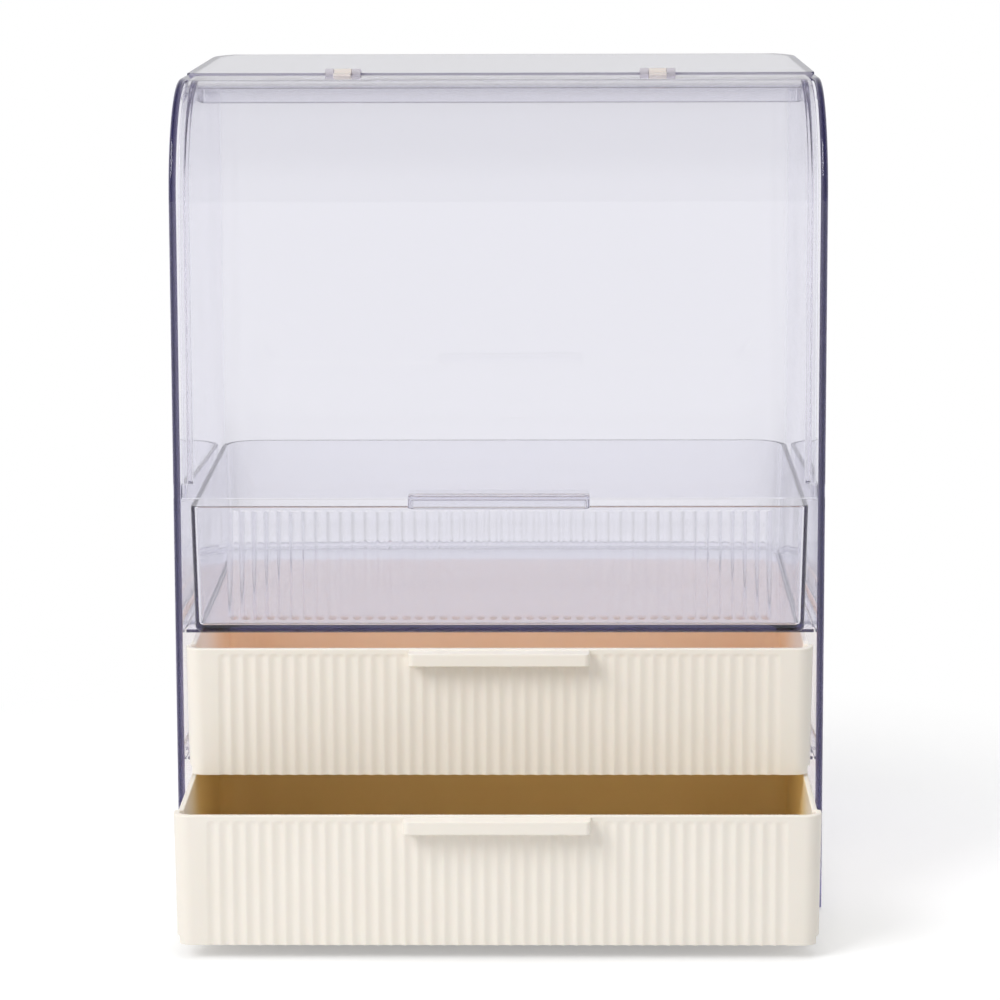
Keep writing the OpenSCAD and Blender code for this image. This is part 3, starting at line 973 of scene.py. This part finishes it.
def clear_plastic(name, tint="#3C0098", density=15.1, frost=0.0, dull_share=0.03,
                  dull_tone="#DAD4F6", dull_node="ShaderNodeBsdfTranslucent"):
    """Injection-moulded clear SAN. Density is the absorption per metre, frost adds roughness."""
    material, tree, out, place = new_material(name)
    bump = add(tree, "ShaderNodeBump", Height=noise(tree, place, WAVE_MM, 1.0),
               Strength=WAVE_STRENGTH, Distance=WAVE_HEIGHT_MM * MM)
    rough = between(tree, noise(tree, place, HAZE_MM, 3.0), frost + POLISH[0], frost + POLISH[1])
    clear = add(tree, "ShaderNodeBsdfPrincipled", Base_Color=colour("#FBFBFD"), IOR=SAN_IOR,
                Transmission_Weight=1.0, Roughness=rough, Normal=bump.outputs["Normal"])
    dull = add(tree, dull_node, Color=colour(dull_tone))
    surface = add(tree, "ShaderNodeMixShader", in0=dull_share, in1=clear.outputs["BSDF"],
                  in2=dull.outputs["BSDF"])
    body = add(tree, "ShaderNodeVolumeAbsorption", Color=colour(tint), Density=density)
    tree.links.new(surface.outputs["Shader"], out.inputs["Surface"])
    tree.links.new(body.outputs["Volume"], out.inputs["Volume"])
    return material


coat(clear_plastic("clear_san_moulded"), door, clear_pull, *shelves)
coat(clear_plastic("clear_san_tray_shot", dull_share=0.01), tray)
coat(clear_plastic("clear_san_case_shot", CASE_TINT, CASE_DENSITY), case)
coat(clear_plastic("clear_san_satin_knuckle", density=1.0, dull_tone="#E6E1E8", **SATIN_MOULD),
     *brackets)

# %% Satin front edge of the top
case.data.materials.append(clear_plastic("clear_san_case_shot_frosted", CASE_TINT, CASE_DENSITY,
                                         dull_tone="#DEDBE6", **SATIN_MOULD))
frosted = [face for face in case.data.polygons
           if face.normal.y < -0.98 and face.center.z / MM > CASE_TOP - CASE_WALL
           and -0.1 < face.center.y / MM - PANEL_Y < PANEL_STEP + 0.1]
for face in frosted:
    face.material_index = 1
print("satin front edge of the top:", len(frosted), "faces")

# %% [markdown]
# ## Cream plastic
# The drawers, their pulls and the hinge barrels are injection-moulded ABS in a warm cream. The mould
# had a fine satin texture, so highlights are soft. The plastic lets a little light through, which is
# why it looks warm at its edges. The barrels are a little greyer.
#
# Deep inside a drawer most light has come through the walls or has bounced many times, and turns warmer
# each time. The inner faces are the same plastic, but that warm bounce light and shade are painted into
# their colour. This painted warmth starts behind the front and grows with the depth: golden in the lower
# drawer and rosy in the upper one.

# %% Cream plastic material
GRAIN_MM = 0.5
GRAIN_STRENGTH = 0.04
GRAIN_HEIGHT_MM = 0.05
MOTTLE_MM = 25
SATIN = (0.34, 0.42)
CREAM_LIGHT = "#F6F0E6"
CREAM_DARK = "#F3ECE1"
CREAM_GLOW = 0.06
GLOW_REACH = (0.002, 0.0012, 0.0007)


def cream_plastic(name, light=CREAM_LIGHT, dark=CREAM_DARK, painted_bounce_depths=None):
    """Satin cream ABS. Painted bounce depths say where it stops being plain cream and where its painted
    warm bounce tones are full.
    """
    material, tree, out, place = new_material(name)
    tone = blend(tree, noise(tree, place, MOTTLE_MM), light, dark)
    # Painted light: from the plain front, the colour turns towards the given warm tones with the depth.
    # These tones stand in for the bounce light and shade inside a drawer.
    if painted_bounce_depths:
        inwards = add(tree, "ShaderNodeSeparateXYZ", Vector=place).outputs["Y"]
        tone = blend(tree, ramp(tree, inwards, painted_bounce_depths[0] * MM, painted_bounce_depths[1] * MM), CREAM_LIGHT, tone)
    grain = noise(tree, place, GRAIN_MM)
    bump = add(tree, "ShaderNodeBump", Height=grain, Strength=GRAIN_STRENGTH,
               Distance=GRAIN_HEIGHT_MM * MM)
    surface = add(tree, "ShaderNodeBsdfPrincipled", Base_Color=tone, IOR=1.5,
                  Roughness=between(tree, grain, *SATIN), Normal=bump.outputs["Normal"],
                  Subsurface_Weight=CREAM_GLOW, Subsurface_Radius=GLOW_REACH, Subsurface_Scale=1.0)
    tree.links.new(surface.outputs["BSDF"], out.inputs["Surface"])
    return material


coat(cream_plastic("cream_abs_satin"), lower_drawer, upper_drawer, lower_pull, upper_pull)
coat(cream_plastic("cream_abs_hinge_barrel", "#DED6D0", "#DAD1CC"), *barrels)

# %% Painted warm bounce light on the inner faces
SKIN = 1.6
LOWER_PAINTED_BOUNCE_DEPTHS = (LOWER_FRONT + 15, LOWER_FRONT + 95)
UPPER_PAINTED_BOUNCE_DEPTHS = (LOWER_FRONT + 107, LOWER_FRONT + 227)


def paint_warm_bounce_inside(drawer, shift, painted_bounce_cream):
    """Gives the faces inside a drawer the cream with painted warm bounce light. Shift is its place from
    the lower drawer.
    """
    drawer.data.materials.append(painted_bounce_cream)
    front, floor_z, top = LOWER_FRONT + shift[1], LOWER_FLOOR + shift[2], LOWER_TOP + shift[2]
    back = front + DRAWER_LONG
    middle = Vector((0, (front + back) / 2, top))
    count = 0
    for face in drawer.data.polygons:
        p = face.center / MM
        half = DRAWER_HALF if p.y < front + SHOULDER[0] else DRAWER_HALF - BODY_STEP
        away = half - SKIN - (top - p.z) * (DRAWER_HALF - DRAWER_LOW) / (top - floor_z)
        inwards = (p - middle).dot(face.normal) < 0 or face.normal.z > 0.7
        within = front + SKIN < p.y < back - SKIN and floor_z + 1 < p.z < top - 0.2
        if inwards and within and abs(p.x) < away:
            face.material_index = 1
            count += 1
    print(drawer.name, count, "inner faces")


# Painted bounce light and shade: golden inside the lower drawer, rosy inside the upper one.
paint_warm_bounce_inside(lower_drawer, (0, 0, 0),
            cream_plastic("cream_abs_golden_inside", "#FCE0A0", "#F9DA96", LOWER_PAINTED_BOUNCE_DEPTHS))
paint_warm_bounce_inside(upper_drawer, UPPER_SHIFT,
            cream_plastic("cream_abs_rosy_inside", "#F6D8B8", "#F2D0AC", UPPER_PAINTED_BOUNCE_DEPTHS))

# %% [markdown]
# ## Steel pins and soft feet
# The hinge pins are cut from drawn steel wire, with fine lines along their length. The feet are a soft
# elastomer, matt and slightly cloudy.

# %% Pin and foot materials
DRAWN_LINES = (60, 4000, 4000)
CLOUD_MM = 4


def drawn_steel(name):
    """Drawn steel wire, with lines that run along it."""
    material, tree, out, place = new_material(name)
    along = add(tree, "ShaderNodeMapping", Vector=place, Scale=DRAWN_LINES).outputs["Vector"]
    lines = add(tree, "ShaderNodeTexNoise", Vector=along, Scale=1.0, Detail=3.0).outputs["Fac"]
    surface = add(tree, "ShaderNodeBsdfPrincipled", Base_Color=blend(tree, lines, "#C9C9CC", "#B4B4B8"),
                  Metallic=1.0, Roughness=between(tree, lines, 0.22, 0.4))
    tree.links.new(surface.outputs["BSDF"], out.inputs["Surface"])
    return material


def soft_elastomer(name):
    """Moulded thermoplastic elastomer."""
    material, tree, out, place = new_material(name)
    cloud = noise(tree, place, CLOUD_MM)
    surface = add(tree, "ShaderNodeBsdfPrincipled", Base_Color=blend(tree, cloud, "#E4E4E2", "#D9D9D8"),
                  Roughness=between(tree, cloud, 0.5, 0.65))
    tree.links.new(surface.outputs["BSDF"], out.inputs["Surface"])
    return material


coat(drawn_steel("drawn_steel_wire"), nodes["hinge_pin_left"], nodes["hinge_pin_right"])
coat(soft_elastomer("soft_elastomer"), *[nodes[name] for name in nodes if name.startswith("foot_")])

# %% [markdown]
# ## The studio floor
# A plain pale paper floor, as for a catalogue picture. Near the object it is real paper, which keeps the
# shadow. Further out it turns to pure white for the rays that are seen, and adds no light to the object.
# Two grey flags stand far behind the object, left and right. Only light that is bent through the clear
# plastic meets them, so the outer edges of the case get the darker lines that tell the eye it is clear.

# %% Floor
FLOOR_SIZE = 8.0
FLOOR_DROP = 0.0002
FIBRE_SCALE = 900.0
FLOOR_LIFT = 0.3
PAPER_TO_WHITE = (0.2, 0.42)
FLAG_DARK = 0.25
FLAG_ASIDE = (0.05, 0.45)
FLAG_NEAR = (0.3, 0.6)
FLAG_FAR = (0.9, 1.5)


def flag_shade(tree, place):
    """How much the flags darken a place on the floor, for transmission rays only."""
    spot = add(tree, "ShaderNodeSeparateXYZ", Vector=place).outputs
    aside = ramp(tree, maths(tree, "ABSOLUTE", spot["X"]), *FLAG_ASIDE, last=FLAG_DARK)
    behind = ramp(tree, spot["Y"], *FLAG_NEAR)
    beyond = ramp(tree, spot["Y"], *FLAG_FAR, first=1.0, last=0.0)
    shade = maths(tree, "MULTIPLY", maths(tree, "MULTIPLY", aside, behind), beyond)
    through = add(tree, "ShaderNodeLightPath").outputs["Is Transmission Ray"]
    return maths(tree, "MULTIPLY", shade, through)


bpy.ops.mesh.primitive_plane_add(size=FLOOR_SIZE, location=(0, 0, -FLOOR_DROP))
floor = bpy.context.object
floor.name = "studio_floor"
bpy.ops.object.transform_apply()
paper, tree, out, place = new_material("floor_paper")
fibre = add(tree, "ShaderNodeTexNoise", Vector=place, Scale=FIBRE_SCALE)
sheet_tone = blend(tree, fibre.outputs["Fac"], "#E8E8E8", "#E4E4E4")
matt = add(tree, "ShaderNodeBsdfPrincipled", Base_Color=sheet_tone, Roughness=0.9)
bright = maths(tree, "SUBTRACT", 1.0, flag_shade(tree, place))
ray = add(tree, "ShaderNodeLightPath").outputs
seen = maths(tree, "MAXIMUM", ray["Is Camera Ray"], ray["Is Glossy Ray"])
seen = maths(tree, "MAXIMUM", seen, ray["Is Transmission Ray"])
fill = add(tree, "ShaderNodeEmission", Color=colour("#FFFFFF"),
           Strength=maths(tree, "MULTIPLY", seen, FLOOR_LIFT))
lit = add(tree, "ShaderNodeAddShader", in0=matt.outputs["BSDF"], in1=fill.outputs["Emission"])
white = add(tree, "ShaderNodeEmission", Color=colour("#FFFFFF"), Strength=bright)
apart = add(tree, "ShaderNodeVectorMath", {"operation": "LENGTH"}, in0=place).outputs["Value"]
share = maths(tree, "MULTIPLY", ramp(tree, apart, *PAPER_TO_WHITE), seen)
mixed = add(tree, "ShaderNodeMixShader", in0=share, in1=lit.outputs["Shader"],
            in2=white.outputs["Emission"])
tree.links.new(mixed.outputs["Shader"], out.inputs["Surface"])
floor.data.materials.append(paper)
print("floor", FLOOR_SIZE, "m wide, white from", PAPER_TO_WHITE[1], "m out")

# %% [markdown]
# ## The studio's surround
# The world is a white room whose parts have their own levels. Behind the clear plastic lies a white
# backdrop, but the ceiling and the front of a studio are dim, and a clear wall looks clear because it
# mirrors such darker parts beside lighter ones. So the level depends on the kind of ray. The camera
# sees white. Bent rays see a darker ceiling, and mirrored rays a darker front of the room as well.
# Surfaces are lit by the ambient level, or by the inside level where light comes through plastic.

# %% World
AMBIENT = 0.55
INSIDE = 1.3
CEILING = 0.1
CEILING_RISE = (0.2, 0.85)
DARK_CEILING = 0.25
DARK_CEILING_RISE = (0.1, 0.8)
FRONT_ROOM = 0.35
BACKDROP = 0.72
ROOM_DEPTH = (-0.6, 0.6)

world = bpy.data.worlds.new("studio_surround")
bpy.context.scene.world = world
world.use_nodes = True
tree = world.node_tree
tree.nodes.clear()
place = add(tree, "ShaderNodeTexCoord").outputs["Object"]
way = add(tree, "ShaderNodeSeparateXYZ", Vector=place).outputs
bent = ramp(tree, way["Z"], *CEILING_RISE, first=1.0, last=CEILING)
dim = ramp(tree, way["Z"], *DARK_CEILING_RISE, first=1.0, last=DARK_CEILING)
room = ramp(tree, way["Y"], *ROOM_DEPTH, first=FRONT_ROOM, last=BACKDROP)
mirrored = maths(tree, "MULTIPLY", dim, room)
ray = add(tree, "ShaderNodeLightPath").outputs


def either(share, first, second):
    """The first level, or the second where the share is 1."""
    return add(tree, "ShaderNodeMix", in0=share, in2=first, in3=second).outputs[0]


lighting = either(ray["Is Transmission Ray"], AMBIENT, INSIDE)
showing = either(ray["Is Camera Ray"], either(ray["Is Transmission Ray"], mirrored, bent), 1.0)
level = either(ray["Diffuse Depth"], showing, lighting)
light = add(tree, "ShaderNodeBackground", Color=colour("#FFFFFF"), Strength=level)
tree.links.new(light.outputs["Background"], tree.nodes.new("ShaderNodeOutputWorld").inputs["Surface"])
print("world levels: ambient", AMBIENT, "inside", INSIDE, "backdrop", BACKDROP)

# %% [markdown]
# ## Lamps
# One large soft key lamp stands in front, high on the left. It gives the flutes their light and dark
# sides and the floor its soft shadow. A weak wide lamp above opens the insides of the drawers. Clear
# plastic would show both as hard white panels, so they are hidden from what is seen through it.

# %% Lamps
LAMP_AIM = (0, 0, 0.15)


def softbox(name, place, width, height, watts, mirrored=True):
    """A rectangular area lamp that faces the object, and is mirrored in smooth surfaces or not."""
    lamp = bpy.data.lights.new(name, "AREA")
    lamp.shape = "RECTANGLE"
    lamp.size = width
    lamp.size_y = height
    lamp.energy = watts
    box = bpy.data.objects.new(name, lamp)
    box.location = place
    box.rotation_euler = (Vector(LAMP_AIM) - Vector(place)).to_track_quat("-Z", "Y").to_euler()
    box.visible_glossy = mirrored
    box.visible_transmission = False
    bpy.context.scene.collection.objects.link(box)
    print(name, watts, "W")


softbox("key_softbox", (-1.3, -1.3, 1.5), 1.2, 1.2, 25)
softbox("top_softbox", (0.2, 0.0, 2.0), 1.5, 1.2, 8, mirrored=False)

# %% [markdown]
# ## Light paths
# Light crosses the plastic many times before it leaves an edge, so it is followed for many bounces.
# Blurring of sharp glossy paths is off, because it would make the inside of a clear box dark.

# %% View and bounces
scene = bpy.context.scene
scene.view_settings.view_transform = "Standard"
scene.cycles.max_bounces = 32
scene.cycles.transmission_bounces = 32
scene.cycles.glossy_bounces = 16
scene.cycles.blur_glossy = 0.0
